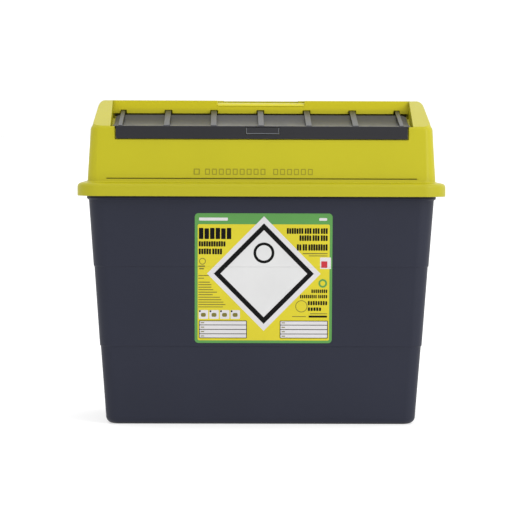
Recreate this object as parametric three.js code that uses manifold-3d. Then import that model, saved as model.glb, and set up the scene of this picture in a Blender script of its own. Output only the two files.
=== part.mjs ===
// Sharps container: a tapered tub with a rolled rim, a lid with a sloping
// recess, and a ribbed hatch that swings on a bar at the back of the recess.
// Millimetres, +Z up, +X to the right, the front faces -Y.
// Origin: centre of the footprint, on the surface that the tub stands on.
import * as THREE from 'three';
import { mergeVertices } from 'three/addons/utils/BufferGeometryUtils.js';
import Module from 'manifold-3d';

const wasm = await Module();
wasm.setup();

// ---------------------------------------------------------------- dimensions
const WIDTH = 440;            // over the lid flange
const DEPTH = 260;            // over the lid flange
const HEIGHT = 390;           // floor to lid deck
const INSET = (WIDTH - DEPTH) / 2;   // every plan outline is this much narrower in Y
const CORNER_SEG = 8;         // facets in a plan corner

// tub, half-widths at heights
const TUB_FLOOR = 3.0;        // floor thickness
const TUB_WALL = 2.4;
const TUB_FLOOR_R = 3.0;      // inside radius between floor and wall
const TUB_FOOT_R = 9.0;       // radius of the edge round the foot
const TUB_FOOT_X = 186.6;     // half-width just above the foot radius
const STEP_1_Z = 94.5;        // lower step
const STEP_1 = [192.8, 193.8];
const STEP_2_Z = 190.5;       // upper step
const STEP_2 = [200.2, 201.1];
const TUB_NECK_Z = 270.0;     // where the bead under the flange starts
const TUB_NECK_X = 206.6;
const BEAD_X = 208.9;
const RIM_X = 216.6;          // outside of the rolled rim
const RIM_UNDER_Z = 277.5;
const RIM_TOP_Z = 288.2;
const FOOT_RECESS = 2.5;      // hollow under the floor
const FOOT_RING = 15;         // width of the ring that touches the ground

// lid
const LID_WALL = 2.2;
const FLANGE_BOTTOM_Z = 275.0;
const FLANGE_TOP_Z = 290.8;
const FLANGE_X = 220.0;
const FLANGE_R = 5.0;         // radius of the flange's upper edge
const WALL_X0 = 207.9;        // lid wall just above the flange
const WALL_X1 = 204.0;        // lid wall at the crease
const CREASE_Z = 357.8;
const TOP_X = 198.0;          // lid half-width at the deck before its radius
const TOP_R = 6.5;
const DECK_FRONT_Y = -12.6;   // front edge of the deck
const RECESS_X0 = 180.0;      // half-width of the recess at its floor
const RECESS_X1 = 182.8;      // and at the deck
const NOTCH_X = 174.8;        // half-width of the front cut-out for the lip
const NOTCH_Z = 342.4;
const SILL_Y = -111.8;        // face behind the hatch's lip
const APERTURE_X = 171.5;     // opening through the recess floor
const APERTURE_Y = [-107.4, -36.2];
const GROOVE_Z = 295.9;       // line moulded across the front
const GROOVE_X = 185;

// hinge
const HINGE_Y = -24.0;
const HINGE_Z = 367.5;
const BAR_R = 2.5;
const BAR_X = 178.4;
const HOOK_BORE = 2.9;
const HOOK_R = 5.3;
const RIB_X = [-168.7, -113.5, -57.6, -0.8, 56, 111.9, 166.8];
const RIB_W = [5.0, 7.0, 7.0, 7.0, 7.0, 7.0, 5.0];   // the outermost ribs are narrower
const RIB_SLOT_GAP = 1.1;     // each side of a rib, in its slot and notch
const SADDLE_X = [-175.1, -141, -85, -29, 27.5, 83.5, 139, 173.8];

// hatch
const HATCH_X = 177.2;        // half-width of the panel
const LIP_X = 173.6;          // half-width of the front lip
const LIP_Y = [-116.4, -113.9];
const LIP_Z = [343.2, 358.4];
const PANEL_T = 2.2;
// top surface of the panel, front to back: nearly level, then rising
const PANEL = [
  [-113.9, 358.4], [-108, 358.5], [-98, 359.0], [-86, 360.0], [-74, 361.3], [-62, 363.0],
  [-51, 365.1], [-42, 367.5], [-35, 370.0], [-29.2, 372.5],
];
const PANEL_GAP = 0.9;        // between the panel and the ledge below it

// grip in the deck
const GRIP_X = 53.5;
const GRIP_POCKET_X = 49;
const GRIP_POCKET_Y = [5, 41];
const GRIP_POCKET_Z = 360;

// latch tab
const TAB_X = 0.8;            // its centre
const TAB_W = 39.6;
const TAB_Z = [348.9, 357.3];
const TAB_SLOT = 0.5;

// label
const LABEL_X = [-79.6, 84.6];
const LABEL_Z = [98.9, 254.8];
const LABEL_T = 0.35;

// ------------------------------------------------------------------ materials
const mat = (hex, roughness) => new THREE.MeshStandardMaterial({ color: hex, roughness, metalness: 0 });
const YELLOW = mat(0xc6c02c, 0.45);
const SLATE = mat(0x34353f, 0.5);
const GREY = mat(0x46474a, 0.38);
const PRINT = mat(0xe2d431, 0.35);

// -------------------------------------------------------------------- helpers
// closed geometry -> solid
function solid(geometry) {
  const g = geometry.index ? geometry : geometry.clone();
  g.deleteAttribute('normal');
  g.deleteAttribute('uv');
  const m = mergeVertices(g, 1e-4);
  return new wasm.Manifold(new wasm.Mesh({
    numProp: 3,
    vertProperties: new Float32Array(m.attributes.position.array),
    triVerts: new Uint32Array(m.index.array),
  }));
}

// solid -> geometry
function geometryOf(manifold) {
  const m = manifold.getMesh();
  const g = new THREE.BufferGeometry();
  const p = new Float32Array((m.vertProperties.length / m.numProp) * 3);
  for (let i = 0; i < p.length / 3; i++) {
    for (let k = 0; k < 3; k++) p[3 * i + k] = m.vertProperties[i * m.numProp + k];
  }
  g.setAttribute('position', new THREE.BufferAttribute(p, 3));
  g.setIndex(new THREE.BufferAttribute(new Uint32Array(m.triVerts), 1));
  g.computeVertexNormals();
  return g;
}

function box(x0, x1, y0, y1, z0, z1) {
  const g = new THREE.BoxGeometry(x1 - x0, y1 - y0, z1 - z0);
  g.translate((x0 + x1) / 2, (y0 + y1) / 2, (z0 + z1) / 2);
  return solid(g);
}

// plan outline of a rounded rectangle, always the same number of points
function ring(hx, hy, r, cx = 0, cy = 0) {
  const s = new THREE.Shape();
  s.absarc(cx + hx - r, cy + hy - r, r, 0, Math.PI / 2, false);
  s.absarc(cx - hx + r, cy + hy - r, r, Math.PI / 2, Math.PI, false);
  s.absarc(cx - hx + r, cy - hy + r, r, Math.PI, 1.5 * Math.PI, false);
  s.absarc(cx + hx - r, cy - hy + r, r, 1.5 * Math.PI, 2 * Math.PI, false);
  const out = [];
  for (const c of s.curves) {
    if (c.type === 'LineCurve') continue;
    for (const p of c.getPoints(CORNER_SEG)) out.push(p);
  }
  return out;
}

// closed body through plan outlines stacked in Z: levels are [z, hx, hy, r]
function loft(levels, cx = 0, cy = 0) {
  const rings = levels.map(([, hx, hy, r]) => ring(hx, hy, r, cx, cy));
  const n = rings[0].length;
  const pos = [];
  rings.forEach((pts, k) => pts.forEach((p) => pos.push(p.x, p.y, levels[k][0])));
  const idx = [];
  for (let k = 0; k + 1 < rings.length; k++) {
    for (let i = 0; i < n; i++) {
      const a = k * n + i, b = k * n + (i + 1) % n, c = a + n, d = b + n;
      idx.push(a, b, d, a, d, c);
    }
  }
  const cap = THREE.ShapeUtils.triangulateShape(rings[0], []);
  const top = (rings.length - 1) * n;
  for (const [a, b, c] of cap) {
    idx.push(c, b, a);
    idx.push(top + a, top + b, top + c);
  }
  const g = new THREE.BufferGeometry();
  g.setAttribute('position', new THREE.Float32BufferAttribute(pos, 3));
  g.setIndex(idx);
  return solid(g);
}

// outline levels whose depth follows the width
const lv = (z, hx, r) => [z, hx, hx - INSET, r];

// side outline in (y, z), swept along X
function sweepX(points, x0, x1, steps = 1) {
  const s = new THREE.Shape(points.map(([y, z]) => new THREE.Vector2(y, z)));
  const g = new THREE.ExtrudeGeometry(s, { depth: x1 - x0, bevelEnabled: false, steps });
  // extrusion runs along local Z: (u, v, w) -> (w, u, v)
  g.applyMatrix4(new THREE.Matrix4().set(
    0, 0, 1, x0,
    1, 0, 0, 0,
    0, 1, 0, 0,
    0, 0, 0, 1,
  ));
  return solid(g);
}

function rodX(radius, x0, x1, y, z, seg = 24) {
  const g = new THREE.CylinderGeometry(radius, radius, x1 - x0, seg);
  g.rotateZ(Math.PI / 2);
  g.translate((x0 + x1) / 2, y, z);
  return solid(g);
}

// outline moved outwards by d, sharp corners kept (points run anticlockwise)
function offset(points, d) {
  const n = points.length;
  return points.map((p, i) => {
    const a = points[(i + n - 1) % n], b = points[(i + 1) % n];
    const e1 = new THREE.Vector2(p[0] - a[0], p[1] - a[1]).normalize();
    const e2 = new THREE.Vector2(b[0] - p[0], b[1] - p[1]).normalize();
    const n1 = new THREE.Vector2(e1.y, -e1.x), n2 = new THREE.Vector2(e2.y, -e2.x);
    const m = n1.clone().add(n2).normalize();
    const k = d / Math.max(0.35, m.dot(n1));
    return [p[0] + m.x * k, p[1] + m.y * k];
  });
}

// one solid into a body that widens with height: x is stretched about 0
function flare(manifold, z0, z1, k0, k1) {
  const g = geometryOf(manifold);
  const p = g.attributes.position;
  for (let i = 0; i < p.count; i++) {
    const t = Math.min(1, Math.max(0, (p.getZ(i) - z0) / (z1 - z0)));
    p.setX(i, p.getX(i) * (k0 + (k1 - k0) * t));
  }
  g.deleteAttribute('normal');
  return solid(g);
}

const group = new THREE.Group();
const yellow = new THREE.Group();
const grey = new THREE.Group();
group.add(yellow, grey);

function place(parent, name, manifold, material) {
  const mesh = new THREE.Mesh(geometryOf(manifold), material);
  mesh.name = name;
  parent.add(mesh);
  return mesh;
}

// ----------------------------------------------------------------------- tub
function tubOuter() {
  const L = [];
  const r0 = 14;
  for (let i = 0; i <= 4; i++) {
    const a = (i / 4) * Math.PI / 2;
    const inset = TUB_FOOT_R * (1 - Math.sin(a));
    L.push(lv(TUB_FOOT_R * (1 - Math.cos(a)), TUB_FOOT_X - inset, r0 - inset * 0.55));
  }
  L.push(lv(STEP_1_Z - 0.8, STEP_1[0], 15));
  L.push(lv(STEP_1_Z + 0.8, STEP_1[1], 15.6));
  L.push(lv(STEP_2_Z - 0.8, STEP_2[0], 17));
  L.push(lv(STEP_2_Z + 0.8, STEP_2[1], 17.6));
  L.push(lv(TUB_NECK_Z, TUB_NECK_X, 19));
  L.push(lv(TUB_NECK_Z + 1.8, BEAD_X, 20.5));
  L.push(lv(RIM_UNDER_Z - 0.5, BEAD_X, 20.5));
  L.push(lv(RIM_UNDER_Z, RIM_X, 23.5));
  L.push(lv(RIM_TOP_Z - 1.4, RIM_X, 23.5));
  L.push(lv(RIM_TOP_Z, RIM_X - 1.4, 22.5));
  return loft(L);
}

function tubInner() {
  const w = TUB_WALL;
  const L = [];
  for (let i = 0; i <= 4; i++) {
    const a = (i / 4) * Math.PI / 2;
    const inset = TUB_FLOOR_R * (1 - Math.sin(a));
    L.push(lv(TUB_FLOOR + FOOT_RECESS + TUB_FLOOR_R * (1 - Math.cos(a)), TUB_FOOT_X - w - inset, 12 - inset * 0.5));
  }
  L.push(lv(STEP_1_Z - 0.8, STEP_1[0] - w, 12.8));
  L.push(lv(STEP_1_Z + 0.8, STEP_1[1] - w, 13.4));
  L.push(lv(STEP_2_Z - 0.8, STEP_2[0] - w, 14.8));
  L.push(lv(STEP_2_Z + 0.8, STEP_2[1] - w, 15.4));
  L.push(lv(TUB_NECK_Z, TUB_NECK_X - w, 16.8));
  L.push(lv(RIM_TOP_Z + 2, TUB_NECK_X - w + 1.0, 17.5));
  return loft(L);
}

let tub = tubOuter().subtract(tubInner());
// hollow under the rolled rim
const rimVoid = loft([
  lv(RIM_UNDER_Z - 0.6, RIM_X - 2.2, 21.8), lv(RIM_TOP_Z - 2.6, RIM_X - 2.2, 21.8),
]).subtract(loft([lv(RIM_UNDER_Z - 2, BEAD_X, 20.5), lv(RIM_TOP_Z, BEAD_X, 20.5)]));
tub = tub.subtract(rimVoid);
// hollow under the floor, inside the foot ring
const footX = TUB_FOOT_X - TUB_FOOT_R - FOOT_RING;
tub = tub.subtract(loft([lv(-2, footX + 1.5, 8), lv(FOOT_RECESS, footX, 7)]));
place(grey, 'container_body', tub, SLATE);

// ---------------------------------------------------------------------- label
// thin film on the front wall, bent over the upper step
function frontY(z) {
  const pts = [
    [TUB_FOOT_R, TUB_FOOT_X], [STEP_1_Z - 0.8, STEP_1[0]], [STEP_1_Z + 0.8, STEP_1[1]],
    [STEP_2_Z - 0.8, STEP_2[0]], [STEP_2_Z + 0.8, STEP_2[1]], [TUB_NECK_Z, TUB_NECK_X],
  ];
  for (let i = 0; i + 1 < pts.length; i++) {
    if (z <= pts[i + 1][0]) {
      const t = (z - pts[i][0]) / (pts[i + 1][0] - pts[i][0]);
      return -(pts[i][1] + t * (pts[i + 1][1] - pts[i][1]) - INSET);
    }
  }
  return -(TUB_NECK_X - INSET);
}
{
  const zs = [LABEL_Z[0], STEP_2_Z - 2.2, STEP_2_Z - 0.9, STEP_2_Z + 0.7, LABEL_Z[1]];
  const g = 0.3;
  const outer = zs.map((z) => [frontY(z) - g - LABEL_T, z]);
  const inner = zs.map((z) => [frontY(z) - g, z]).reverse();
  const film = sweepX([...outer, ...inner].reverse(), LABEL_X[0], LABEL_X[1]);
  const cx = (LABEL_X[0] + LABEL_X[1]) / 2, cz = (LABEL_Z[0] + LABEL_Z[1]) / 2;
  const hw = (LABEL_X[1] - LABEL_X[0]) / 2, hh = (LABEL_Z[1] - LABEL_Z[0]) / 2;
  const s = new THREE.Shape(ring(hw, hh, 4.5, cx, cz));
  const cut = new THREE.ExtrudeGeometry(s, { depth: 40, bevelEnabled: false });
  cut.rotateX(Math.PI / 2);          // (x, z) outline, running towards -Y
  cut.translate(0, -90, 0);
  place(grey, 'front_label', film.intersect(solid(cut)), PRINT);
}

// ------------------------------------------------------------------------ lid
function lidOuter(d = 0) {
  // d > 0 gives the same body smaller by d, for the hollow inside
  const L = [];
  if (!d) {
    L.push(lv(FLANGE_BOTTOM_Z, FLANGE_X, 27));
    for (let i = 0; i <= 4; i++) {
      const a = (i / 4) * Math.PI / 2;
      L.push(lv(FLANGE_TOP_Z - FLANGE_R + FLANGE_R * Math.sin(a),
        FLANGE_X - FLANGE_R * (1 - Math.cos(a)), 27 - FLANGE_R * (1 - Math.cos(a))));
    }
    L.push(lv(FLANGE_TOP_Z + 0.2, WALL_X0 + 2.0, 16));
    L.push(lv(FLANGE_TOP_Z + 0.8, WALL_X0 + 0.6, 14.6));
    L.push(lv(FLANGE_TOP_Z + 2.2, WALL_X0, 14));
  } else {
    L.push(lv(RIM_TOP_Z + 0.2, WALL_X0 - d, 14 - d));
  }
  L.push(lv(CREASE_Z - 3.5, WALL_X1 + 0.2 - d, 13 - d));
  L.push(lv(CREASE_Z - 1.2, WALL_X1 - 0.4 - d, 12.6 - d));
  L.push(lv(CREASE_Z + 0.6, WALL_X1 - 1.6 - d, 12.2 - d));
  L.push(lv(CREASE_Z + 2.8, WALL_X1 - 2.5 - d, 11.8 - d));
  const zt = HEIGHT - (d ? 2.4 : 0);
  const tr = TOP_R - (d ? 2 : 0);
  for (let i = 0; i <= 4; i++) {
    const a = (i / 4) * Math.PI / 2;
    L.push(lv(zt - tr + tr * Math.sin(a), TOP_X - d - tr * (1 - Math.cos(a)) + (i ? 0 : 0.4),
      10.5 - d - (tr - 0.5) * (1 - Math.cos(a)) * 0.6));
  }
  return loft(L);
}

// the recess that the hatch lies in: everything above this outline is open
const ledge = PANEL.filter(([y]) => y > SILL_Y && y < -32).map(([y, z]) => [y, z - PANEL_T - PANEL_GAP]);
const ledgeFront = 355.1;
const TROUGH_Y = [-31.8, -10.8];
const TROUGH_Z = 361.6;
const WALL_FOOT_Z = 373.7;
const WALL_FOOT_Y = -14.2;
const recessOutline = [
  [-150, CREASE_Z], [SILL_Y, CREASE_Z], [SILL_Y, ledgeFront], ...ledge,
  [TROUGH_Y[0], ledge[ledge.length - 1][1] + 1.0],
  [TROUGH_Y[0], TROUGH_Z], [TROUGH_Y[1], TROUGH_Z], [TROUGH_Y[1], WALL_FOOT_Z],
  [WALL_FOOT_Y, WALL_FOOT_Z], [DECK_FRONT_Y, HEIGHT], [DECK_FRONT_Y, 420], [-150, 420],
];
const K0 = 1, K1 = RECESS_X1 / RECESS_X0;
const recess = flare(sweepX(recessOutline, -RECESS_X0, RECESS_X0), CREASE_Z, HEIGHT, K0, K1)
  .add(box(-NOTCH_X, NOTCH_X, -150, SILL_Y, NOTCH_Z, CREASE_Z + 1));
const recessThick = flare(sweepX(offset(recessOutline, LID_WALL), -RECESS_X0 - LID_WALL, RECESS_X0 + LID_WALL),
  CREASE_Z, HEIGHT, K0, K1)
  .add(box(-NOTCH_X - LID_WALL, NOTCH_X + LID_WALL, -150, SILL_Y + LID_WALL, NOTCH_Z - LID_WALL, CREASE_Z + 1));

// the ends of the lid beside the recess slope from the crease up to the deck
const cheekCut = (d) => {
  const n = Math.hypot(HEIGHT - CREASE_Z, DECK_FRONT_Y + 114.4);
  const dz = -d * n / (DECK_FRONT_Y + 114.4);
  return sweepX([
    [-150, CREASE_Z + dz - (150 - 114.4) * (HEIGHT - CREASE_Z) / (DECK_FRONT_Y + 114.4)],
    [DECK_FRONT_Y, HEIGHT + dz], [DECK_FRONT_Y, 420], [-150, 420],
  ], -230, 230);
};

let lid = lidOuter().subtract(cheekCut(0)).subtract(recess);
let hollow = lidOuter(LID_WALL).subtract(cheekCut(LID_WALL)).subtract(recessThick);

// hand grip: a pocket in the deck behind a rounded bar
const grip = loft([
  [GRIP_POCKET_Z, GRIP_POCKET_X - 2, (GRIP_POCKET_Y[1] - GRIP_POCKET_Y[0]) / 2 - 2, 8],
  [HEIGHT + 5, GRIP_POCKET_X, (GRIP_POCKET_Y[1] - GRIP_POCKET_Y[0]) / 2, 10],
], 0, (GRIP_POCKET_Y[0] + GRIP_POCKET_Y[1]) / 2);
const gripSkin = loft([
  [GRIP_POCKET_Z - LID_WALL, GRIP_POCKET_X, (GRIP_POCKET_Y[1] - GRIP_POCKET_Y[0]) / 2, 10],
  [HEIGHT + 5, GRIP_POCKET_X + 2, (GRIP_POCKET_Y[1] - GRIP_POCKET_Y[0]) / 2 + 2, 12],
], 0, (GRIP_POCKET_Y[0] + GRIP_POCKET_Y[1]) / 2);
// the top of the bar is lower than the deck and crowned
const crown = sweepX([
  [-20, 383.0], [DECK_FRONT_Y - 0.6, 383.6], [-12.0, 384.9], [-9.5, 386.4], [-5.5, 387.3], [-1, 387.4],
  [2.5, 386.4], [4.6, 384.0], [4.9, 380], [8, 380], [8, 400], [-20, 400],
], -GRIP_X, GRIP_X);
const crownSkin = box(-GRIP_X - LID_WALL, GRIP_X + LID_WALL, -30, 10, 380.6, 400);
hollow = hollow.subtract(gripSkin).subtract(crownSkin);
lid = lid.subtract(hollow).subtract(grip).subtract(crown);

// inside of the flange, over the tub's rim
lid = lid.subtract(loft([lv(260, FLANGE_X - 2.5, 24.5), lv(RIM_TOP_Z + 0.35, FLANGE_X - 2.5, 24.5)]));

// opening under the hatch
{
  const hy = (APERTURE_Y[1] - APERTURE_Y[0]) / 2, cy = (APERTURE_Y[1] + APERTURE_Y[0]) / 2;
  lid = lid.subtract(loft([[335, APERTURE_X, hy, 7], [372, APERTURE_X, hy, 7]], 0, cy));
}
// slots for the hooks, open through the trough, and notches in the back wall
RIB_X.forEach((x, i) => {
  const w = RIB_W[i] / 2 + RIB_SLOT_GAP;
  lid = lid.subtract(box(x - w, x + w, TROUGH_Y[0], -6.5, 345, WALL_FOOT_Z + 0.01));
  lid = lid.subtract(box(x - w, x + w, -20, -6.5, WALL_FOOT_Z, 378.2));
});
// window in the sill that the latch tab's nose goes into
lid = lid.subtract(box(TAB_X - 14, TAB_X + 14, SILL_Y - 1, SILL_Y + 4, 346.8, 353.6));
// line across the front
{
  const yF = -(WALL_X0 - INSET - (GROOVE_Z - FLANGE_TOP_Z - 2.2) * 0.063);
  lid = lid.subtract(box(-GROOVE_X, GROOVE_X, yF - 5, yF + 0.75, GROOVE_Z - 0.6, GROOVE_Z + 0.6));
}
// saddles that hold the hinge bar
for (const x of SADDLE_X) {
  const w = Math.abs(x) > 170 ? 2.2 : 4;
  const block = box(x - w, x + w, HINGE_Y - 4.6, HINGE_Y + 4.6, TROUGH_Z - 1.5, HINGE_Z + 1.9)
    .subtract(rodX(BAR_R + 0.3, x - 9, x + 9, HINGE_Y, HINGE_Z))
    .subtract(box(x - 9, x + 9, HINGE_Y - 2.3, HINGE_Y + 2.3, HINGE_Z, HINGE_Z + 6));
  lid = lid.add(block);
}
place(yellow, 'lid_shell', lid, YELLOW);

place(yellow, 'hinge_bar', rodX(BAR_R, -BAR_X, BAR_X, HINGE_Y, HINGE_Z), YELLOW);

// ---------------------------------------------------------------------- hatch
const panelTop = (y) => {
  for (let i = 0; i + 1 < PANEL.length; i++) {
    if (y <= PANEL[i + 1][0]) {
      const t = (y - PANEL[i][0]) / (PANEL[i + 1][0] - PANEL[i][0]);
      return PANEL[i][1] + t * (PANEL[i + 1][1] - PANEL[i][1]);
    }
  }
  return PANEL[PANEL.length - 1][1];
};
{
  const top = PANEL.slice(1);
  const bottom = top.map(([y, z]) => [y, z - PANEL_T]).reverse();
  const plate = sweepX([[PANEL[0][0] - 1, PANEL[0][1]], ...top, ...bottom, [PANEL[0][0] - 1, PANEL[0][1] - PANEL_T]].reverse(),
    -HATCH_X, HATCH_X);
  // the plate only spans the full width behind the sill
  const ends = box(LIP_X, HATCH_X + 5, -130, SILL_Y + 0.6, 340, 380)
    .add(box(-HATCH_X - 5, -LIP_X, -130, SILL_Y + 0.6, 340, 380));
  let hatch = plate.subtract(ends).add(box(-LIP_X, LIP_X, LIP_Y[0], LIP_Y[1], LIP_Z[0], LIP_Z[1]));
  // front edge of the top is eased
  hatch = hatch.subtract(sweepX([[LIP_Y[0] - 1, LIP_Z[1] - 0.7], [LIP_Y[0] + 0.7, LIP_Z[1] + 1], [LIP_Y[0] - 1, LIP_Z[1] + 1]], -200, 200));
  // window for the latch tab
  hatch = hatch.subtract(box(TAB_X - TAB_W / 2 - TAB_SLOT, TAB_X + TAB_W / 2 + TAB_SLOT,
    LIP_Y[0] - 1, LIP_Y[1] + 0.05, TAB_Z[0] - TAB_SLOT, TAB_Z[1] - 0.2));
  place(grey, 'hatch_panel', hatch, GREY);
}

RIB_X.forEach((x, i) => {
  const w = RIB_W[i] / 2;
  const under = PANEL.filter(([y]) => y > -110).map(([y, z]) => [y, z + 0.3]);
  const outline = [
    [-111.6, panelTop(-111.6) + 0.3], ...under, [-28.9, 372.8], [-28.9, 368],
    [HINGE_Y - 2, HINGE_Z + 3.2], [HINGE_Y + 3.6, HINGE_Z + 3.2], [-15.0, 371.2],
    [-12.6, 372.6], [-12.2, 374.4], [-13.2, 376.2], [-15.4, 377.0], [-18, 376.8],
    [-108.5, 359.8], [-111.0, 359.2],
  ];
  let rib = sweepX(outline, x - w, x + w)
    .add(rodX(HOOK_R, x - w, x + w, HINGE_Y, HINGE_Z, 28))
    .subtract(rodX(HOOK_BORE, x - 10, x + 10, HINGE_Y, HINGE_Z, 28));
  // mouth of the hook, down and to the back
  const mouth = new THREE.BoxGeometry(30, 4.2, 12);
  mouth.translate(0, 0, -6);
  mouth.rotateX(THREE.MathUtils.degToRad(50));
  mouth.translate(x, HINGE_Y, HINGE_Z);
  rib = rib.subtract(solid(mouth));
  place(grey, `hatch_rib_${i + 1}`, rib, GREY);
});

// latch tab: a plate in the lip with a nose behind it
{
  const plate = box(TAB_X - TAB_W / 2, TAB_X + TAB_W / 2, LIP_Y[0], LIP_Y[1] - 0.2, TAB_Z[0], TAB_Z[1] - 0.55);
  const nose = sweepX([
    [LIP_Y[1] - 0.4, 349.3], [-112.5, 350.2], [-112.1, 351.2], [LIP_Y[1] - 0.4, 352.2],
  ], TAB_X - 12, TAB_X + 12);
  place(grey, 'latch_tab', plate.add(nose), GREY);
}

export default group;
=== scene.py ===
"""Sharps container: the looks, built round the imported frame. Metres, +Z up, front towards -Y."""

import math

import bpy
import bmesh
from mathutils import Vector, Matrix


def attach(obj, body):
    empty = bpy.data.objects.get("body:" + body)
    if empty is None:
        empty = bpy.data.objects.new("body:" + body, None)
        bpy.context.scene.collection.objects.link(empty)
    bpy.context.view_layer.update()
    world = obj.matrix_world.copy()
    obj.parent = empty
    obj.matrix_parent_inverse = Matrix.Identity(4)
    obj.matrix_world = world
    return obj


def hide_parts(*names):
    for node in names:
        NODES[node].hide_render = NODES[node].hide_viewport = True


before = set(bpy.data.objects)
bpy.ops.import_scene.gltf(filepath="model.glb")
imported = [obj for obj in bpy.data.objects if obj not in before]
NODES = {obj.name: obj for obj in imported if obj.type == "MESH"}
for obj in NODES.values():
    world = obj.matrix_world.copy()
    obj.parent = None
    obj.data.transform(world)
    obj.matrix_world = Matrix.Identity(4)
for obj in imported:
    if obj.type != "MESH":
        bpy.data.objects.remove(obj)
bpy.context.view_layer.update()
MM = 0.001

scene = bpy.context.scene
scene.view_settings.view_transform = "Standard"
scene.view_settings.look = "None"


# ------------------------------------------------------------------ materials
def lin(c):
    """sRGB 0..255 to linear."""
    out = []
    for v in c:
        v /= 255.0
        out.append(v / 12.92 if v <= 0.04045 else ((v + 0.055) / 1.055) ** 2.4)
    return (*out, 1.0)


class Nodes:
    def __init__(self, name):
        self.m = bpy.data.materials.new(name)
        self.m.use_nodes = True
        self.t = self.m.node_tree
        self.t.nodes.clear()

    def add(self, kind, **inputs):
        n = self.t.nodes.new(kind)
        for k, v in inputs.items():
            if k in n.inputs.keys():
                n.inputs[k].default_value = v
            else:
                setattr(n, k, v)
        return n

    def link(self, a, b):
        self.t.links.new(a, b)

    def noise(self, coord, scale, detail=2.0, rough=0.5):
        n = self.add("ShaderNodeTexNoise", Scale=scale, Detail=detail, Roughness=rough)
        self.link(coord, n.inputs["Vector"])
        return n.outputs["Fac"]

    def math(self, op, a, b=None, clamp=False):
        n = self.add("ShaderNodeMath", operation=op)
        n.use_clamp = clamp
        for i, v in enumerate((a, b)):
            if v is None:
                continue
            if isinstance(v, (int, float)):
                n.inputs[i].default_value = v
            else:
                self.link(v, n.inputs[i])
        return n.outputs[0]

    def mix(self, fac, a, b, blend="MIX"):
        n = self.add("ShaderNodeMix", data_type="RGBA", blend_type=blend)
        for sock, v in ((n.inputs[0], fac), (n.inputs[6], a), (n.inputs[7], b)):
            if isinstance(v, (int, float)):
                sock.default_value = v
            elif isinstance(v, tuple):
                sock.default_value = v
            else:
                self.link(v, sock)
        return n.outputs[2]

    def ramp(self, fac, stops):
        n = self.add("ShaderNodeValToRGB")
        e = n.color_ramp.elements
        while len(e) > 1:
            e.remove(e[-1])
        e[0].position, e[0].color = stops[0][0], (*[stops[0][1]] * 3, 1)
        for p, v in stops[1:]:
            x = e.new(p)
            x.color = (v, v, v, 1)
        self.link(fac, n.inputs[0])
        return n.outputs[0]


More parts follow.
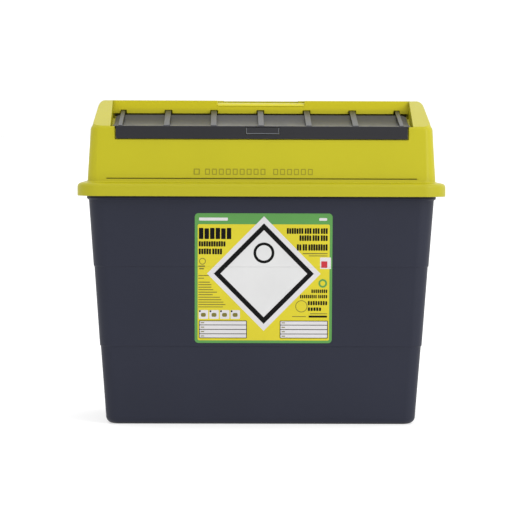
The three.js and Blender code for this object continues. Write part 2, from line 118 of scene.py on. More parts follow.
def plastic(name, rgb, rough=0.42, level=0.5, mottle=0.05, grain=14e-6, grain_scale=1500.0,
            wave=0.0, wave_scale=40.0, radius=0.0006, wear=0.3, wear_rgb=None, streak=0.03, sss=0.0, scuff_and_sheen=None, zones=(), sides=None):
    """Moulded plastic: slight cloudiness in the colour, eroded-mould grain, soft flow marks, paler worn edges.
    The rubbed patches are set by (y where they are full, y where they end, colour, amount, polish): on the part that is
    touched most, smoother than the rest as real wear, and a little paler on upward faces as a painted sheen of
    reflected light.
    zones are ((axis, from, to), ...) boxes of painted light or shade, each with its colour, how much of it, and the
    width of its faded edge in metres.
    sides is the colour of faces that look along X, painted on them as painted shade."""
    g = Nodes(name)
    coord = g.add("ShaderNodeTexCoord")
    co = coord.outputs["Object"]
    cloud = g.noise(co, 9.0, 3.0)
    fine = g.noise(co, 260.0, 4.0, 0.6)
    stretch = g.add("ShaderNodeMapping")
    stretch.inputs["Scale"].default_value = (3.0, 3.0, 60.0)
    g.link(co, stretch.inputs["Vector"])
    flow = g.noise(stretch.outputs[0], 1.0, 4.0, 0.6)

    # colour: cloud and a little speckle, painted shade on faces along X, painted light and shade in boxes, rubbed
    # patches with a painted sheen, then paler at worn edges
    c0 = lin(rgb)
    dark = tuple(v * (1 - mottle) for v in c0[:3]) + (1.0,)
    light = tuple(min(1.0, v * (1 + mottle)) for v in c0[:3]) + (1.0,)
    col = g.mix(g.ramp(cloud, [(0.3, 0.0), (0.7, 1.0)]), dark, light)
    speck = g.ramp(fine, [(0.35, 0.0), (0.65, 1.0)])
    col = g.mix(g.math("MULTIPLY", speck, 0.35 * mottle + 0.01), col, light)

    # painted shade: faces that look along X are painted towards the sides colour
    if sides:
        facing = g.add("ShaderNodeSeparateXYZ")
        g.link(coord.outputs["Normal"], facing.inputs[0])
        across = g.math("MULTIPLY", g.math("SUBTRACT", g.math("ABSOLUTE", facing.outputs["X"]), 0.45), 4.0, clamp=True)
        col = g.mix(g.math("MULTIPLY", across, 0.9), col, lin(sides))
    if zones:
        part = g.add("ShaderNodeSeparateXYZ")
        g.link(co, part.inputs[0])
    # painted light and shade: each zone paints its colour into a box on the part
    for bounds_, rgb_z, amount, soft in zones:
        mask = amount
        for axis, lo, hi in bounds_:
            a_ = g.math("MULTIPLY", g.math("SUBTRACT", part.outputs[axis], lo), 1.0 / soft, clamp=True)
            b_ = g.math("MULTIPLY", g.math("SUBTRACT", hi, part.outputs[axis]), 1.0 / soft, clamp=True)
            mask = g.math("MULTIPLY", mask, g.math("MULTIPLY", a_, b_))
        col = g.mix(mask, col, lin(rgb_z))

    # rubbed patches: smoother as real wear, and paler on upward faces as a painted sheen
    if scuff_and_sheen:
        y_full, y_end, rgb_s, amount, polish = scuff_and_sheen
        sep = g.add("ShaderNodeSeparateXYZ")
        g.link(co, sep.inputs[0])
        away = g.math("DIVIDE", g.math("SUBTRACT", sep.outputs["Y"], y_full), y_end - y_full, clamp=True)
        near = g.math("SUBTRACT", 1.0, away, clamp=True)
        tilt = g.add("ShaderNodeSeparateXYZ")
        g.link(coord.outputs["Normal"], tilt.inputs[0])
        top_z = g.math("MULTIPLY", g.math("SUBTRACT", tilt.outputs["Z"], 0.5), 4.0, clamp=True)
        squash = g.add("ShaderNodeMapping")
        squash.inputs["Scale"].default_value = (1.0, 0.35, 1.0)
        g.link(co, squash.inputs["Vector"])
        patch = g.ramp(g.noise(squash.outputs[0], 55.0, 5.0, 0.65), [(0.36, 0.3), (0.62, 1.0)])
        mask = g.math("MULTIPLY", g.math("MULTIPLY", near, patch), g.math("MULTIPLY", top_z, amount), clamp=True)
        col = g.mix(mask, col, lin(rgb_s))

    bevel = g.add("ShaderNodeBevel", samples=4)
    bevel.inputs["Radius"].default_value = radius
    geo = g.add("ShaderNodeNewGeometry")
    dot = g.add("ShaderNodeVectorMath", operation="DOT_PRODUCT")
    g.link(bevel.outputs[0], dot.inputs[0])
    g.link(geo.outputs["Normal"], dot.inputs[1])
    edge = g.math("SUBTRACT", 1.0, dot.outputs["Value"], clamp=True)
    edge = g.math("MULTIPLY", edge, 5.0, clamp=True)
    edge = g.math("MULTIPLY", edge, g.ramp(g.noise(co, 70.0, 4.0, 0.7), [(0.35, 0.15), (0.65, 1.0)]))
    edge = g.math("MULTIPLY", edge, wear, clamp=True)
    pale = lin(wear_rgb) if wear_rgb else tuple(min(1.0, v * 1.5 + 0.02) for v in c0[:3]) + (1.0,)
    col = g.mix(edge, col, pale)

    b = g.add("ShaderNodeBsdfPrincipled")
    g.link(col, b.inputs["Base Color"])
    r = g.math("ADD", rough - 0.05, g.math("MULTIPLY", fine, 0.06))
    r = g.math("ADD", r, g.math("MULTIPLY", flow, streak))
    r = g.math("ADD", r, g.math("MULTIPLY", edge, 0.15), clamp=True)
    if scuff_and_sheen:
        r = g.math("SUBTRACT", r, g.math("MULTIPLY", mask, polish), clamp=True)
    g.link(r, b.inputs["Roughness"])
    b.inputs["Specular IOR Level"].default_value = level
    b.inputs["IOR"].default_value = 1.49
    if sss:
        b.inputs["Subsurface Weight"].default_value = sss
        b.inputs["Subsurface Radius"].default_value = (0.004, 0.003, 0.0005)
        b.inputs["Subsurface Scale"].default_value = 1.0

    grain_n = g.noise(co, grain_scale, 2.0, 0.55)
    bump = g.add("ShaderNodeBump", Strength=1.0, Distance=grain)
    g.link(grain_n, bump.inputs["Height"])
    g.link(bevel.outputs[0], bump.inputs["Normal"])
    last = bump
    if wave:
        w = g.noise(co, wave_scale, 2.0, 0.5)
        b2 = g.add("ShaderNodeBump", Strength=1.0, Distance=wave)
        g.link(w, b2.inputs["Height"])
        g.link(bump.outputs[0], b2.inputs["Normal"])
        last = b2
    g.link(last.outputs[0], b.inputs["Normal"])
    out = g.add("ShaderNodeOutputMaterial")
    g.link(b.outputs[0], out.inputs["Surface"])
    return g.m


def ink(name, rgb, rough=0.34, level=0.4):
    """Printed film: almost even colour, slight print dither, faint orange peel."""
    g = Nodes(name)
    co = g.add("ShaderNodeTexCoord").outputs["Object"]
    c0 = lin(rgb)
    a = tuple(v * 0.96 for v in c0[:3]) + (1.0,)
    b_ = tuple(min(1.0, v * 1.03) for v in c0[:3]) + (1.0,)
    col = g.mix(g.ramp(g.noise(co, 22.0, 3.0), [(0.3, 0.0), (0.7, 1.0)]), a, b_)
    dots = g.add("ShaderNodeTexVoronoi", Scale=2400.0)
    g.link(co, dots.inputs["Vector"])
    col = g.mix(g.math("MULTIPLY", dots.outputs["Distance"], 0.05), col, b_)
    b = g.add("ShaderNodeBsdfPrincipled")
    g.link(col, b.inputs["Base Color"])
    g.link(g.math("ADD", rough - 0.03, g.math("MULTIPLY", g.noise(co, 180.0, 3.0), 0.08)), b.inputs["Roughness"])
    b.inputs["Specular IOR Level"].default_value = level
    bump = g.add("ShaderNodeBump", Strength=1.0, Distance=8e-6)
    g.link(g.noise(co, 600.0, 2.0), bump.inputs["Height"])
    g.link(bump.outputs[0], b.inputs["Normal"])
    out = g.add("ShaderNodeOutputMaterial")
    g.link(b.outputs[0], out.inputs["Surface"])
    return g.m


TUB = plastic("tub_slate", (28, 31, 46), rough=0.5, level=0.28, mottle=0.05, grain=16e-6, wear=0.25, wear_rgb=(92, 94, 104),
              # painted shade: a dark band under the flange
              zones=(((("Z", 0.2722, 0.2790),), (10, 10, 14), 0.85, 0.0005),
                     # painted shade: a dark line round the foot, where it meets the floor
                     ((("Z", -0.0010, 0.0017),), (7, 7, 10), 0.9, 0.0004)))
LID = plastic("lid_yellow", (171, 164, 14), rough=0.42, level=0.3, mottle=0.025, grain=10e-6, wear=0.3,
              wear_rgb=(206, 202, 80), wave=0.00012, wave_scale=14.0, zones=(
                  # painted light: the upright wall behind the hatch is painted brighter, standing in for light that
                  # comes through the thin wall
                  ((("X", -0.1815, 0.1815), ("Y", -0.0155, -0.0118), ("Z", 0.3732, 0.3925)), (200, 188, 2), 0.3, 0.0006),
                  ((("X", -0.1815, 0.1815), ("Y", -0.0185, -0.0090), ("Z", 0.3772, 0.3985)), (208, 196, 2), 0.65, 0.0040),
                  # painted highlight: the grip bar on the crown is painted brighter, standing in for light on its top
                  ((("X", -0.0540, 0.0540), ("Y", -0.0125, 0.0110), ("Z", 0.3815, 0.3985)), (192, 184, 8), 0.55, 0.0005),
                  # painted shade: the flange is painted a little darker than the wall
                  ((("Z", 0.2735, 0.2905),), (160, 154, 18), 0.7, 0.0012),
                  # painted shade: the trough under the hatch's rear edge is painted near black, standing in for the
                  # shade of the cavity
                  ((("X", -0.1795, 0.1795), ("Y", -0.0338, -0.0090), ("Z", 0.3550, 0.3744)), (48, 45, 3), 0.9, 0.0003),
              ))
BAR = plastic("bar_yellow", (171, 164, 14), rough=0.38, level=0.3, mottle=0.03, wear=0.3, wear_rgb=(206, 202, 92))
HATCH = plastic("hatch_grey", (29, 29, 33), rough=0.46, level=0.3, mottle=0.08, grain=12e-6, wear=0.4,
                # rubbed patches near the front: smoother as real wear, and painted paler on upward faces as a painted
                # sheen
                wear_rgb=(130, 130, 132), wave=0.00025, wave_scale=60.0, scuff_and_sheen=(-0.102, -0.050, (88, 88, 92), 0.55, 0.24),
                # painted shade: the panel's rear edge is painted near black for the shaded gap behind it
                zones=(((('Y', -0.0318, -0.0270), ('Z', 0.3650, 0.3800)), (5, 5, 5), 0.9, 0.0006),))
TAB = plastic("tab_grey", (28, 28, 32), rough=0.36, level=0.4, mottle=0.06, grain=12e-6, wear=0.3, wear_rgb=(110, 110, 112))
# painted highlight: the pale U line round the latch tab stands in for light caught by the edges of its slot
OUTLINE = plastic("tab_outline", (96, 98, 102), rough=0.4, level=0.4, mottle=0.05, wear=0.2)
RIB = plastic("rib_grey", (35, 36, 40), rough=0.38, level=0.36, mottle=0.16, grain=10e-6, wear=0.4,
              # painted shade: the ribs' faces that look along X are painted near black
              wear_rgb=(140, 140, 142), sides=(4, 4, 5))
INK_GREEN = ink("print_green", (76, 136, 62))
INK_YELLOW = ink("print_yellow", (196, 183, 22))
INK_WHITE = ink("print_white", (198, 196, 197))
INK_GREY = ink("print_pale_grey", (198, 198, 198))
INK_BLACK = ink("print_black", (3, 3, 3), level=0.12)
INK_OLIVE = ink("print_olive", (104, 98, 22))
INK_RED = ink("print_red", (176, 28, 42))
# painted shade: the lid's engraved legend is drawn as flush marks in a darker yellow, standing in for the shade in its
# engraving
MARK = ink("lid_mark", (134, 128, 12), rough=0.5, level=0.3)
LINE = ink("groove_shade", (66, 61, 2), rough=0.6, level=0.2)


# -------------------------------------------------------------------- helpers
def make(name, verts, faces, mat, body, sharp=32.0, smooth=True):
    me = bpy.data.meshes.new(name)
    me.from_pydata([tuple(c * MM for c in v) for v in verts], [], faces)
    me.validate()
    me.update()
    ob = bpy.data.objects.new(name, me)
    scene.collection.objects.link(ob)
    tidy(ob, sharp, smooth)
    me.materials.append(mat)
    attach(ob, body)
    return ob


def tidy(ob, sharp=32.0, smooth=True):
    """Outward faces, smooth shading with the sharp edges kept."""
    bm = bmesh.new()
    bm.from_mesh(ob.data)
    bmesh.ops.remove_doubles(bm, verts=bm.verts, dist=1e-7)
    bmesh.ops.recalc_face_normals(bm, faces=bm.faces)
    for f in bm.faces:
        f.smooth = smooth
    lim = math.radians(sharp)
    for e in bm.edges:
        e.smooth = len(e.link_faces) == 2 and e.calc_face_angle(0.0) < lim
    bm.to_mesh(ob.data)
    bm.free()


def weigh(ob):
    w = ob.modifiers.new("weighted", "WEIGHTED_NORMAL")
    w.keep_sharp = True
    w.weight = 100
    w.thresh = 0.01
    return ob


def bake(ob):
    """Applies the modifiers, so the mesh is what shows."""
    dg = bpy.context.evaluated_depsgraph_get()
    dg.update()
    me = bpy.data.meshes.new_from_object(ob.evaluated_get(dg), preserve_all_data_layers=True, depsgraph=dg)
    old = ob.data
    ob.modifiers.clear()
    ob.data = me
    bpy.data.meshes.remove(old)
    return ob


def regroup(bm, pick, cuts, keep):
    """Where a flat face has a hole, two edges tie the hole to the outline. This cuts the picked faces along planes
    and joins the rest again, so that those edges stay inside keep, away from the corners that get rounded."""
    for co, no in cuts:
        faces = [f for f in bm.faces if pick(f)]
        geom = list({v for f in faces for v in f.verts}) + list({e for f in faces for e in f.edges}) + faces
        bmesh.ops.bisect_plane(bm, geom=geom, dist=1e-7, plane_co=co, plane_no=no)
    gone = []
    for e in bm.edges:
        mid = (e.verts[0].co + e.verts[1].co) / 2
        if len(e.link_faces) == 2 and all(pick(f) for f in e.link_faces) and not keep(mid):
            if not any(abs((v.co - Vector(co)).dot(Vector(no))) > 1e-6 for co, no in cuts for v in e.verts):
                continue
            if any(all(abs((v.co - Vector(co)).dot(Vector(no))) < 1e-6 for v in e.verts) for co, no in cuts):
                continue
            gone.append(e)
    if gone:
        bmesh.ops.dissolve_edges(bm, edges=gone, use_verts=False)


def cad_copy(node, name, mat, body, width=0.7, segs=2, angle=30.0, flat=0.35, sharp=40.0, edit=None, after=None):
    """A finer copy of a CAD node: cleaned, with its edges rounded."""
    ob = bpy.data.objects.new(name, NODES[node].data.copy())
    scene.collection.objects.link(ob)
    ob.data.materials.clear()
    bm = bmesh.new()
    bm.from_mesh(ob.data)
    bmesh.ops.remove_doubles(bm, verts=bm.verts, dist=2e-6)
    if edit:
        edit(bm)
    bmesh.ops.dissolve_limit(bm, angle_limit=math.radians(flat), verts=bm.verts, edges=bm.edges)
    bmesh.ops.recalc_face_normals(bm, faces=bm.faces)
    if after:
        bm.normal_update()
        after(bm)
    for f in bm.faces:
        f.smooth = True
    for layer in list(bm.loops.layers.uv):
        bm.loops.layers.uv.remove(layer)
    bm.to_mesh(ob.data)
    bm.free()
    ob.data.materials.append(mat)
    if width:
        b = ob.modifiers.new("round", "BEVEL")
        b.width = width * MM
        b.segments = segs
        b.limit_method = "ANGLE"
        b.angle_limit = math.radians(angle)
        b.use_clamp_overlap = False
        b.miter_outer = "MITER_ARC"
        b.harden_normals = False
        bake(ob)
    tidy(ob, sharp)
    weigh(ob)
    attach(ob, body)
    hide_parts(node)
    return ob


def fillet(pts, seg=5):
    """Profile points (u, v, corner radius, fillet radius) to (u, v, corner radius) with rounded corners."""
    out = []
    for i, (u, v, rc, f) in enumerate(pts):
        if f <= 0 or i in (0, len(pts) - 1):
            out.append((u, v, rc))
            continue
        p = Vector((u, v))
        d1 = Vector(pts[i - 1][:2]) - p
        d2 = Vector(pts[i + 1][:2]) - p
        l1, l2 = d1.length, d2.length
        d1 /= l1
        d2 /= l2
        ang = math.acos(max(-1.0, min(1.0, d1.dot(d2))))
        if ang > math.pi - 0.01:
            out.append((u, v, rc))
            continue
        t = min(f / math.tan(ang / 2), 0.48 * l1, 0.48 * l2)
        r = t * math.tan(ang / 2)
        c = p + (d1 + d2).normalized() * (r / math.sin(ang / 2))
        s, e = p + d1 * t - c, p + d2 * t - c
        sweep = math.atan2(s.x * e.y - s.y * e.x, s.dot(e))
        for k in range(seg + 1):
            a = sweep * k / seg
            q = c + Vector((s.x * math.cos(a) - s.y * math.sin(a), s.x * math.sin(a) + s.y * math.cos(a)))
            out.append((q.x, q.y, max(0.8, rc + (q.x - u))))
    return out


def ring(hx, hy, r, seg):
    out = []
    for cx, cy, a0 in ((hx - r, hy - r, 0), (-hx + r, hy - r, 90), (-hx + r, -hy + r, 180), (hx - r, -hy + r, 270)):
        for k in range(seg + 1):
            a = math.radians(a0 + 90.0 * k / seg)
            out.append((cx + r * math.cos(a), cy + r * math.sin(a)))
    return out


def loft(levels, inset, seg=14):
    """Closed skin through rounded rectangles: levels are (half-width, z, corner radius)."""
    verts, faces = [], []
    rings = [ring(u, u - inset, rc, seg) for u, v, rc in levels]
    n = len(rings[0])
    for (u, v, rc), pts in zip(levels, rings):
        verts += [(x, y, v) for x, y in pts]
    for k in range(len(rings) - 1):
        for i in range(n):
            a, b = k * n + i, k * n + (i + 1) % n
            faces.append((a, b, b + n, a + n))
    faces.append(tuple(range(n))[::-1])
    faces.append(tuple(range((len(rings) - 1) * n, len(rings) * n)))
    return verts, faces


# ------------------------------------------------------------------------ tub
INSET = 90.0
WALL = 2.4
OUTER = [  # half-width, z, plan radius, fillet: the wall as it shows from outside
    (186.6 - 9.0, 0.0, 9.0, 0.0),
]
for k in range(1, 9):
    a = k / 9 * math.pi / 2
    OUTER.append((186.6 - 9.0 * (1 - math.sin(a)), 9.0 * (1 - math.cos(a)), 14 - 9.0 * (1 - math.sin(a)) * 0.55, 0.0))
OUTER += [
    (186.6, 9.0, 14.0, 0.0),
    (192.8, 94.0, 15.0, 0.9), (193.8, 95.2, 15.6, 0.9),
    (200.2, 190.0, 17.0, 0.9), (201.1, 191.2, 17.6, 0.9),
    (206.6, 270.0, 19.0, 1.2), (208.9, 271.8, 20.5, 0.9), (208.9, 276.6, 20.5, 0.0),
]
RIM = [
    (208.9, 285.6, 20.5, 0.8), (214.4, 285.6, 21.8, 0.8), (214.4, 277.5, 21.8, 0.5), (216.6, 277.5, 23.5, 0.8),
    (216.6, 288.2, 23.5, 1.6), (205.0, 288.2, 17.5, 1.4),
]
INNER = [
    (206.6 - WALL, 270.0, 16.8, 2.0), (201.1 - WALL, 191.2, 15.4, 0.9), (200.2 - WALL, 190.0, 14.8, 0.9),
    (193.8 - WALL, 95.2, 13.4, 0.9), (192.8 - WALL, 94.0, 12.8, 0.9), (184.2, 8.5, 12.0, 0.0),
]
for k in range(1, 9):
    a = k / 8 * math.pi / 2
    INNER.append((184.2 - 3.0 * (1 - math.cos(a)), 8.5 - 3.0 * math.sin(a), 12.0 - 1.5 * (1 - math.cos(a)), 0.0))
FOOT = [
    (162.6, 2.5, 7.0, 0.0), (163.2, 2.4, 7.2, 0.5), (164.1, 0.0, 8.0, 0.7),
]
profile = fillet(FOOT + OUTER, 5) + fillet(RIM + INNER, 5)[0:]
wall_line = [(v, u) for u, v, rc in profile if 12.0 < v < 269.0 and u > 184.0]
wall_line = []
for u, v, rc in fillet(FOOT + OUTER, 5):
    if v >= 8.99 and v <= 270.0:
        wall_line.append((v, u))
verts, faces = loft(profile, INSET, 14)
tub = make("tub_moulding", verts, faces, TUB, "tub", sharp=50.0)
weigh(tub)
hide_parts("container_body")


def wall_y(z):
    """y of the tub's front face at height z, in mm."""
    for (z0, u0), (z1, u1) in zip(wall_line, wall_line[1:]):
        if z0 <= z <= z1:
            t = (z - z0) / (z1 - z0) if z1 > z0 else 0.0
            return -(u0 + (u1 - u0) * t - INSET)
    return -(wall_line[-1][1] - INSET)


# ---------------------------------------------------------------------- label
LX, LZ = -79.6, 98.9            # lower left corner of the label on the front face
BENDS = [v for v, u in wall_line if LZ < v < LZ + 156]


def rrect(x0, x1, z0, z1, r=0.0, seg=6):
    if r <= 0:
        return [(x0, z0), (x1, z0), (x1, z1), (x0, z1)]
    out = []
    for cx, cz, a0 in ((x1 - r, z1 - r, 0), (x0 + r, z1 - r, 90), (x0 + r, z0 + r, 180), (x1 - r, z0 + r, 270)):
        for k in range(seg + 1):
            a = math.radians(a0 + 90.0 * k / seg)
            out.append((cx + r * math.cos(a), cz + r * math.sin(a)))
    return out


def circle(cx, cz, r, seg=40):
    return [(cx + r * math.cos(2 * math.pi * k / seg), cz + r * math.sin(2 * math.pi * k / seg)) for k in range(seg)]


def film(name, shapes, mat, near, far, front, body, bends=(), origin=(LX, LZ)):
    """Thin closed plates lying on a front face. shapes: outlines, or (outer, inner) pairs for frames, in mm from origin.
    near and far are the distances of its back and its front from the face."""
    bm = bmesh.new()
    ox, oz = origin
    for s in shapes:
        if isinstance(s, tuple):
            outer, inner = s
            vo = [bm.verts.new((ox + x, 0, oz + z)) for x, z in outer]
            vi = [bm.verts.new((ox + x, 0, oz + z)) for x, z in inner]
            n = len(vo)
            for i in range(n):
                bm.faces.new((vo[i], vo[(i + 1) % n], vi[(i + 1) % n], vi[i]))
        else:
            bm.faces.new([bm.verts.new((ox + x, 0, oz + z)) for x, z in s])
    for z in bends:
        geom = bm.verts[:] + bm.edges[:] + bm.faces[:]
        bmesh.ops.bisect_plane(bm, geom=geom, dist=1e-5, plane_co=(0, 0, z), plane_no=(0, 0, 1))
    bmesh.ops.recalc_face_normals(bm, faces=bm.faces)
    back = bm.faces[:]
    got = bmesh.ops.extrude_face_region(bm, geom=back, use_keep_orig=True)
    fresh = {v for v in got["geom"] if isinstance(v, bmesh.types.BMVert)}
    for v in bm.verts:
        v.co.y = front(v.co.z) - (far if v in fresh else near)
    bmesh.ops.recalc_face_normals(bm, faces=bm.faces)
    for v in bm.verts:
        v.co *= MM
    me = bpy.data.meshes.new(name)
    bm.to_mesh(me)
    bm.free()
    ob = bpy.data.objects.new(name, me)
    scene.collection.objects.link(ob)
    tidy(ob, 30.0)
    me.materials.append(mat)
    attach(ob, body)
    return ob


def rhombus(cx, cz, a, b):
    return [(cx + a, cz), (cx, cz + b), (cx - a, cz), (cx, cz - b)]


def on_label(name, shapes, mat, layer):
    near = 0.02 if layer == 0 else 0.18 + 0.05 * layer
    far = 0.22 if layer == 0 else 0.24 + 0.05 * layer
    return film(name, shapes, mat, near, far, wall_y, "tub", BENDS)


def blocks(x0, x1, z0, z1, count, gaps=(), gap=0.55):
    """A row of plain blocks between x0 and x1; gaps are the places where a wider space comes."""
    w = (x1 - x0 - gap * (count - 1) - 1.0 * len(gaps)) / count
    out, x = [], x0
    for k in range(count):
        h = (z1 - z0) * (0.04 if k % 3 == 1 else 0.0)
        out.append((x, x + w, z0, z1 - h))
        x += w + gap + (1.0 if k in gaps else 0.0)
    return out


DARK_BARS = (
    blocks(4.9, 43.5, 124.9, 138.3, 6, gap=1.2)
    + blocks(4.7, 36.6, 116.0, 122.4, 11)
    + blocks(4.7, 32.5, 106.7, 113.6, 9, (4,))
    + blocks(109.7, 158.4, 131.4, 138.3, 16, (6, 9, 12))
    + blocks(124.8, 158.4, 123.0, 129.8, 11, (4, 7))
    + blocks(121.8, 158.4, 111.4, 119.1, 12, (1, 3))
    + blocks(139.5, 158.4, 60.4, 64.9, 8, gap=0.7)
    + blocks(125.9, 158.4, 54.0, 58.4, 14, (8,), gap=0.7)
    + blocks(135.4, 158.4, 45.8, 50.9, 8, gap=0.8)
    + blocks(135.4, 151.2, 38.9, 43.2, 5, gap=0.8)
    + [(136.3, 158.4, 30.9, 33.3)]
)
FINE_BARS = [
    (4.4, 12.2, 91.6, 93.2), (5.4, 10.9, 88.6, 90.2), (4.4, 17.0, 80.6, 81.6), (4.4, 11.0, 77.4, 78.4),
    (4.4, 18.1, 72.6, 73.7), (4.4, 19.9, 69.6, 70.7), (4.4, 19.9, 66.6, 67.7), (4.4, 22.1, 63.6, 64.7),
    (4.4, 26.6, 60.6, 61.7), (4.4, 21.6, 57.6, 58.7), (4.4, 30.1, 54.6, 55.6), (4.4, 31.7, 51.6, 52.6),
    (4.4, 34.4, 48.7, 49.7), (4.4, 36.8, 45.8, 46.8), (4.4, 33.8, 43.0, 43.9), (128.8, 158.4, 107.2, 108.4),
    (136.0, 158.4, 104.6, 105.6), (116.6, 133.0, 31.6, 32.5), (138.0, 158.4, 35.0, 36.0),
]
BOXES = [(5.1, 62.5, 5.7, 27.1), (101.9, 159.4, 5.7, 27.1)]
SQUARES = [(4.9, 16.1, 29.0, 39.6), (17.6, 28.8, 29.0, 39.6), (30.2, 41.5, 29.0, 39.6), (42.9, 54.1, 29.0, 39.6)]

label = on_label("label_border", [rrect(0, 164.2, 0, 155.8, 4.5, 8)], INK_GREEN, 0)
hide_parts("front_label")
on_label("label_field", [rrect(3.5, 160.9, 3.2, 142.7, 1.8)], INK_YELLOW, 1)
on_label("label_rhombus", [rhombus(82.5, 83.5, 67.8, 68.8)], INK_WHITE, 2)
on_label("label_rhombus_band", [(rhombus(82.5, 83.5, 59.8, 60.4), rhombus(82.5, 83.5, 51.9, 52.3))], INK_BLACK, 3)
on_label("label_rhombus_field", [rhombus(82.5, 83.5, 50.6, 51.0)], INK_GREY, 3)
on_label("label_ring", [(circle(82.5, 108.5, 12.5), circle(82.5, 108.5, 9.2))], INK_BLACK, 4)
on_label("label_bars", [rrect(*b, min(0.7, (b[3] - b[2]) / 2.2), 3) for b in DARK_BARS], INK_BLACK, 2)
on_label("label_lines", [rrect(*b) for b in FINE_BARS], INK_OLIVE, 2)
on_label("label_boxes", [rrect(*b, 1.0, 4) for b in BOXES + SQUARES] + [rrect(149.6, 162.6, 89.4, 103.2, 0.6, 3)], INK_WHITE, 2)
frames = []
for x0, x1, z0, z1 in BOXES:
    frames.append((rrect(x0, x1, z0, z1, 1.0, 4), rrect(x0 + 0.8, x1 - 0.8, z0 + 0.8, z1 - 0.8, 0.4, 4)))
    for k in (1, 2, 3):
        z = z0 + (z1 - z0) * k / 4
        frames.append(rrect(x0 + 0.6, x1 - 0.6, z - 0.4, z + 0.4))
on_label("label_box_lines", frames, INK_BLACK, 3)
on_label("label_box_dots", [rrect(x0 + 2.2, x0 + 6.2, z0 + (z1 - z0) * (k + 0.5) / 4 - 0.5, z0 + (z1 - z0) * (k + 0.5) / 4 + 0.5)
                            for x0, x1, z0, z1 in BOXES for k in range(4)]
         + [rrect(x0 + 2.6, x0 + 8.4, z0 + 2.6, z0 + 7.2, 1.6, 4) for x0, x1, z0, z1 in SQUARES], INK_OLIVE, 4)
on_label("label_square_dots", [circle(x0 + 1.3, z1 - 1.3, 1.1, 16) for x0, x1, z0, z1 in SQUARES], INK_BLACK, 4)
on_label("label_header_bars", [rrect(5.1, 39.4, 147.0, 150.6, 0.9, 3), rrect(148.2, 157.7, 147.2, 150.4, 0.9, 3)], INK_WHITE, 2)
on_label("label_small_rings", [(circle(9.2, 98.3, 4.0, 28), circle(9.2, 98.3, 3.1, 28)),
                               (circle(127.6, 44.4, 7.2, 36), circle(127.6, 44.4, 6.4, 36))], INK_OLIVE, 2)
on_label("label_green_ring", [(circle(153.0, 72.1, 5.2, 30), circle(153.0, 72.1, 3.0, 30))], INK_GREEN, 2)
on_label("label_red_square", [rrect(151.0, 158.3, 90.8, 98.6, 0.5, 3)], INK_RED, 3)

# ------------------------------------------------------------------------ lid
def lid_faces(bm):
    regroup(bm, lambda f: f.normal.y < -0.99 and f.calc_center_median().y < -0.112 and 0.293 < f.calc_center_median().z < 0.36,
            [((0, 0, 0.3005), (0, 0, 1))], lambda c: c.z < 0.3005)
    regroup(bm, lambda f: f.normal.y < -0.999 and abs(f.calc_center_median().y + 0.1118) < 2e-4,
            [((-0.017, 0, 0), (1, 0, 0)), ((0.019, 0, 0), (1, 0, 0))], lambda c: -0.017 < c.x < 0.019)


lid = cad_copy("lid_shell", "lid_moulding", LID, "lid", width=0.6, segs=2, angle=32.0, after=lid_faces)
bar = cad_copy("hinge_bar", "hinge_rod", BAR, "lid", width=0.4, segs=2, angle=50.0, flat=0.1)


def lid_y(z):
    return -(207.9 - (z - 293.0) * (207.9 - 204.2) / (354.3 - 293.0) - INSET)


marks = []
x = -67.5
for count in (9, 6):
    for k in range(count):
        marks.append(rrect(x, x + 5.8, 0.8, 8.2, 0.8, 3))
        x += 8.25
    x += 6.8
marks.insert(0, rrect(-81.0, -73.6, 0.8, 8.2, 0.8, 3))
outlined = [(m, [(sum(p[0] for p in m) / len(m) + (q[0] - sum(p[0] for p in m) / len(m)) * 0.62,
                  sum(p[1] for p in m) / len(m) + (q[1] - sum(p[1] for p in m) / len(m)) * 0.68) for q in m]) for m in marks]
film("lid_groove_shade", [rrect(-184.6, 184.6, 295.4, 296.4, 0.4, 3)], LINE, -0.72, -0.5, lid_y, "lid", (), (0.0, 0.0))
# painted shade: the legend marks stand in for the shaded engraving of the lid's lettering
film("lid_legend_blocks", outlined, MARK, -0.05, 0.06, lid_y, "lid", (), (0.0, 299.6))

# ---------------------------------------------------------------------- hatch
PANEL = [(-116.4, 358.4), (-113.9, 358.4), (-108, 358.5), (-98, 359.0), (-86, 360.0), (-74, 361.3), (-62, 363.0),
         (-51, 365.1), (-42, 367.5), (-35, 370.0), (-29.2, 372.5)]


def curve(pts, sub=5):
    """Catmull-Rom through the points."""
    out = []
    for i in range(len(pts) - 1):
        p0 = pts[max(0, i - 1)]
        p1, p2 = pts[i], pts[i + 1]
        p3 = pts[min(len(pts) - 1, i + 2)]
        for k in range(sub):
            t = k / sub
            out.append(tuple(0.5 * ((2 * p1[j]) + (-p0[j] + p2[j]) * t + (2 * p0[j] - 5 * p1[j] + 4 * p2[j] - p3[j]) * t * t
                                    + (-p0[j] + 3 * p1[j] - 3 * p2[j] + p3[j]) * t ** 3) for j in (0, 1)))
    out.append(pts[-1])
    return out


def prism(outline, x0, x1):
    """(y, z) outline swept along X."""
    n = len(outline)
    v = [(x0, y, z) for y, z in outline] + [(x1, y, z) for y, z in outline]
    f = [tuple(range(n)), tuple(range(2 * n - 1, n - 1, -1))]
    f += [(i, (i + 1) % n, (i + 1) % n + n, i + n) for i in range(n)]
    return v, f


def raw(name, verts, faces):
    me = bpy.data.meshes.new(name)
    me.from_pydata([tuple(c * MM for c in v) for v in verts], [], faces)
    ob = bpy.data.objects.new(name, me)
    scene.collection.objects.link(ob)
    tidy(ob)
    return ob


def cuboid(name, x0, x1, y0, y1, z0, z1):
    v, f = prism([(y0, z0), (y1, z0), (y1, z1), (y0, z1)], x0, x1)
    return raw(name, v, f)


def boolean(ob, other, op):
    m = ob.modifiers.new("cut", "BOOLEAN")
    m.operation = op
    m.solver = "EXACT"
    m.object = other
    bake(ob)
    me = other.data
    bpy.data.objects.remove(other)
    bpy.data.meshes.remove(me)


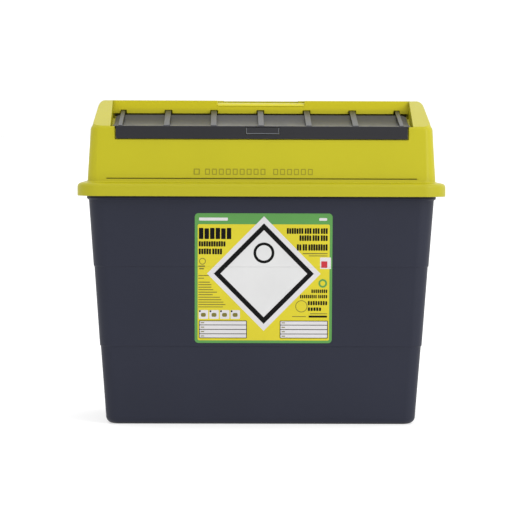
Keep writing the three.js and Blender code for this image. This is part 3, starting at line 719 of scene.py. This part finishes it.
top = curve(PANEL[2:], 6)
under = [(y, z - 2.2) for y, z in top]
outline = [(-116.4, 343.2), (-116.4, 358.4)] + top + under[::-1] + [(-113.9, 356.1), (-113.9, 343.2)]
v, f = prism(outline, -177.2, 177.2)
hatch = raw("hatch_moulding", v, f)
for s in (-1, 1):
    a, b = sorted((s * 173.6, s * 190.0))
    boolean(hatch, cuboid("cut", a, b, -125.0, -111.2, 335.0, 365.0), "DIFFERENCE")
# rounded rear corners
corner = 9.0
plan = [(-177.2, -125.0), (177.2, -125.0)]
plan += [(177.2 - corner + corner * math.cos(math.radians(a)), -29.2 - corner + corner * math.sin(math.radians(a))) for a in range(0, 91, 9)]
plan += [(-177.2 + corner - corner * math.sin(math.radians(a)), -29.2 - corner + corner * math.cos(math.radians(a))) for a in range(0, 91, 9)]
n = len(plan)
v = [(x, y, 335.0) for x, y in plan] + [(x, y, 385.0) for x, y in plan]
f = [tuple(range(n))[::-1], tuple(range(n, 2 * n))] + [(i, (i + 1) % n, (i + 1) % n + n, i + n) for i in range(n)]
boolean(hatch, raw("plan", v, f), "INTERSECT")
boolean(hatch, cuboid("window", 0.8 - 20.3, 0.8 + 20.3, -118.0, -113.85, 348.4, 357.1), "DIFFERENCE")
bm = bmesh.new()
bm.from_mesh(hatch.data)
bmesh.ops.remove_doubles(bm, verts=bm.verts, dist=1e-6)
bmesh.ops.dissolve_limit(bm, angle_limit=math.radians(0.2), verts=bm.verts, edges=bm.edges)
bm.to_mesh(hatch.data)
bm.free()
b = hatch.modifiers.new("round", "BEVEL")
b.width = 0.55 * MM
b.segments = 3
b.limit_method = "ANGLE"
b.angle_limit = math.radians(40)
b.use_clamp_overlap = False
bake(hatch)
tidy(hatch, 40.0)
hatch.data.materials.clear()
hatch.data.materials.append(HATCH)
weigh(hatch)
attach(hatch, "hatch")
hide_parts("hatch_panel")


def panel_top(y):
    for (y0, z0), (y1, z1) in zip(PANEL, PANEL[1:]):
        if y <= y1:
            return z0 + (z1 - z0) * (y - y0) / (y1 - y0)
    return PANEL[-1][1]


def root(bm):
    """The rib's foot runs into the panel, as one moulding."""
    for v in bm.verts:
        y, z = v.co.y / MM, v.co.z / MM
        if y < -28.8 and abs(z - panel_top(y) - 0.3) < 0.12:
            v.co.z -= 0.9 * MM
        elif y > -19.0 and z > 375.5:
            v.co.z += 0.7 * MM


for i in range(1, 8):
    cad_copy(f"hatch_rib_{i}", f"hatch_rib_{i}_moulding", RIB, "hatch", width=0.5, segs=3, angle=50.0, flat=0.05, edit=root)
cad_copy("latch_tab", "latch_tab_moulding", TAB, "latch", width=0.25, segs=2, angle=50.0)
TX0, TX1, TZ0, TZ1 = 0.8 - 19.6, 0.8 + 19.6, 349.1, 356.4
# painted highlight: a pale strip for the light on the edges of the tab's slot
film("latch_tab_rim", [[(TX0, TZ1), (TX0, TZ0), (TX1, TZ0), (TX1, TZ1), (TX1 - 0.7, TZ1), (TX1 - 0.7, TZ0 + 0.9),
                        (TX0 + 0.7, TZ0 + 0.9), (TX0 + 0.7, TZ1)]],
     OUTLINE, -0.05, 0.12, lambda z: -116.4, "latch", (), (0.0, 0.0))

# ------------------------------------------------------------ floor and light
n = 96
v = [(0.0, 0.0, 0.0)] + [(400000 * math.cos(2 * math.pi * k / n), 400000 * math.sin(2 * math.pi * k / n), 0.0) for k in range(n)]
f = [(0, 1 + k, 1 + (k + 1) % n) for k in range(n)]
me = bpy.data.meshes.new("floor")
me.from_pydata([tuple(c * MM for c in p) for p in v], [], f)
floor = bpy.data.objects.new("floor", me)
scene.collection.objects.link(floor)
g = Nodes("floor_pale")
co = g.add("ShaderNodeTexCoord").outputs["Object"]
b = g.add("ShaderNodeBsdfPrincipled", Roughness=0.75)
b.inputs["Specular IOR Level"].default_value = 0.2
b.inputs["Emission Color"].default_value = (1.0, 1.0, 1.0, 1.0)
b.inputs["Emission Strength"].default_value = 0.55
g.link(g.mix(g.noise(co, 3.0, 2.0), (0.47, 0.47, 0.47, 1.0), (0.49, 0.49, 0.49, 1.0)), b.inputs["Base Color"])
out = g.add("ShaderNodeOutputMaterial")
g.link(b.outputs[0], out.inputs["Surface"])
me.materials.append(g.m)

world = bpy.data.worlds.new("studio")
scene.world = world
world.use_nodes = True
bg = world.node_tree.nodes["Background"]
bg.inputs[0].default_value = (1.0, 1.0, 1.0, 1.0)
# white all round, stronger from above and from the right
wt = world.node_tree
way = wt.nodes.new("ShaderNodeTexCoord")
split = wt.nodes.new("ShaderNodeSeparateXYZ")
wt.links.new(way.outputs["Generated"], split.inputs[0])


def wmath(op, a, b):
    m = wt.nodes.new("ShaderNodeMath")
    m.operation = op
    for i, v in enumerate((a, b)):
        if isinstance(v, (int, float)):
            m.inputs[i].default_value = v
        else:
            wt.links.new(v, m.inputs[i])
    return m.outputs[0]


SIDE, ABOVE, FRONT = 0.25, 0.7, 0.42
up = wmath("MAXIMUM", split.outputs["Z"], 0.0)
ahead = wmath("MAXIMUM", wmath("MULTIPLY", split.outputs["Y"], -1.0), 0.0)
sides = wmath("ADD", 1.03, wmath("MULTIPLY", split.outputs["X"], SIDE))
wt.links.new(wmath("SUBTRACT", wmath("ADD", sides, wmath("MULTIPLY", up, ABOVE)), wmath("MULTIPLY", ahead, FRONT)), bg.inputs[1])


def area(name, loc, target, size, energy, color=(1, 1, 1)):
    d = bpy.data.lights.new(name, "AREA")
    d.shape = "RECTANGLE"
    d.size, d.size_y = size
    d.energy = energy
    d.color = color
    o = bpy.data.objects.new(name, d)
    scene.collection.objects.link(o)
    o.location = loc
    o.rotation_euler = (Vector(target) - Vector(loc)).to_track_quat("-Z", "Y").to_euler()
    return o


area("key", (1.1, -1.25, 0.85), (0.1, 0.0, 0.2), (0.8, 1.0), 9.0)
area("fill", (-2.2, -2.2, 1.2), (0.0, 0.0, 0.2), (1.4, 1.4), 2.0)

cam_data = bpy.data.cameras.new("camera")
cam = bpy.data.objects.new("camera", cam_data)
scene.collection.objects.link(cam)
scene.camera = cam
cam.location = (-0.0384, -3.130, 0.345)
aim = Matrix.Rotation(math.radians(-0.73), 4, "Z") @ Matrix.Rotation(math.radians(90 - 2.805), 4, "X")
cam.rotation_euler = (aim @ Matrix.Rotation(math.radians(0.2), 4, "Z")).to_euler()
cam_data.sensor_width = 36.0
cam_data.lens = 174.3
cam_data.clip_start = 0.05
cam_data.clip_end = 1000.0
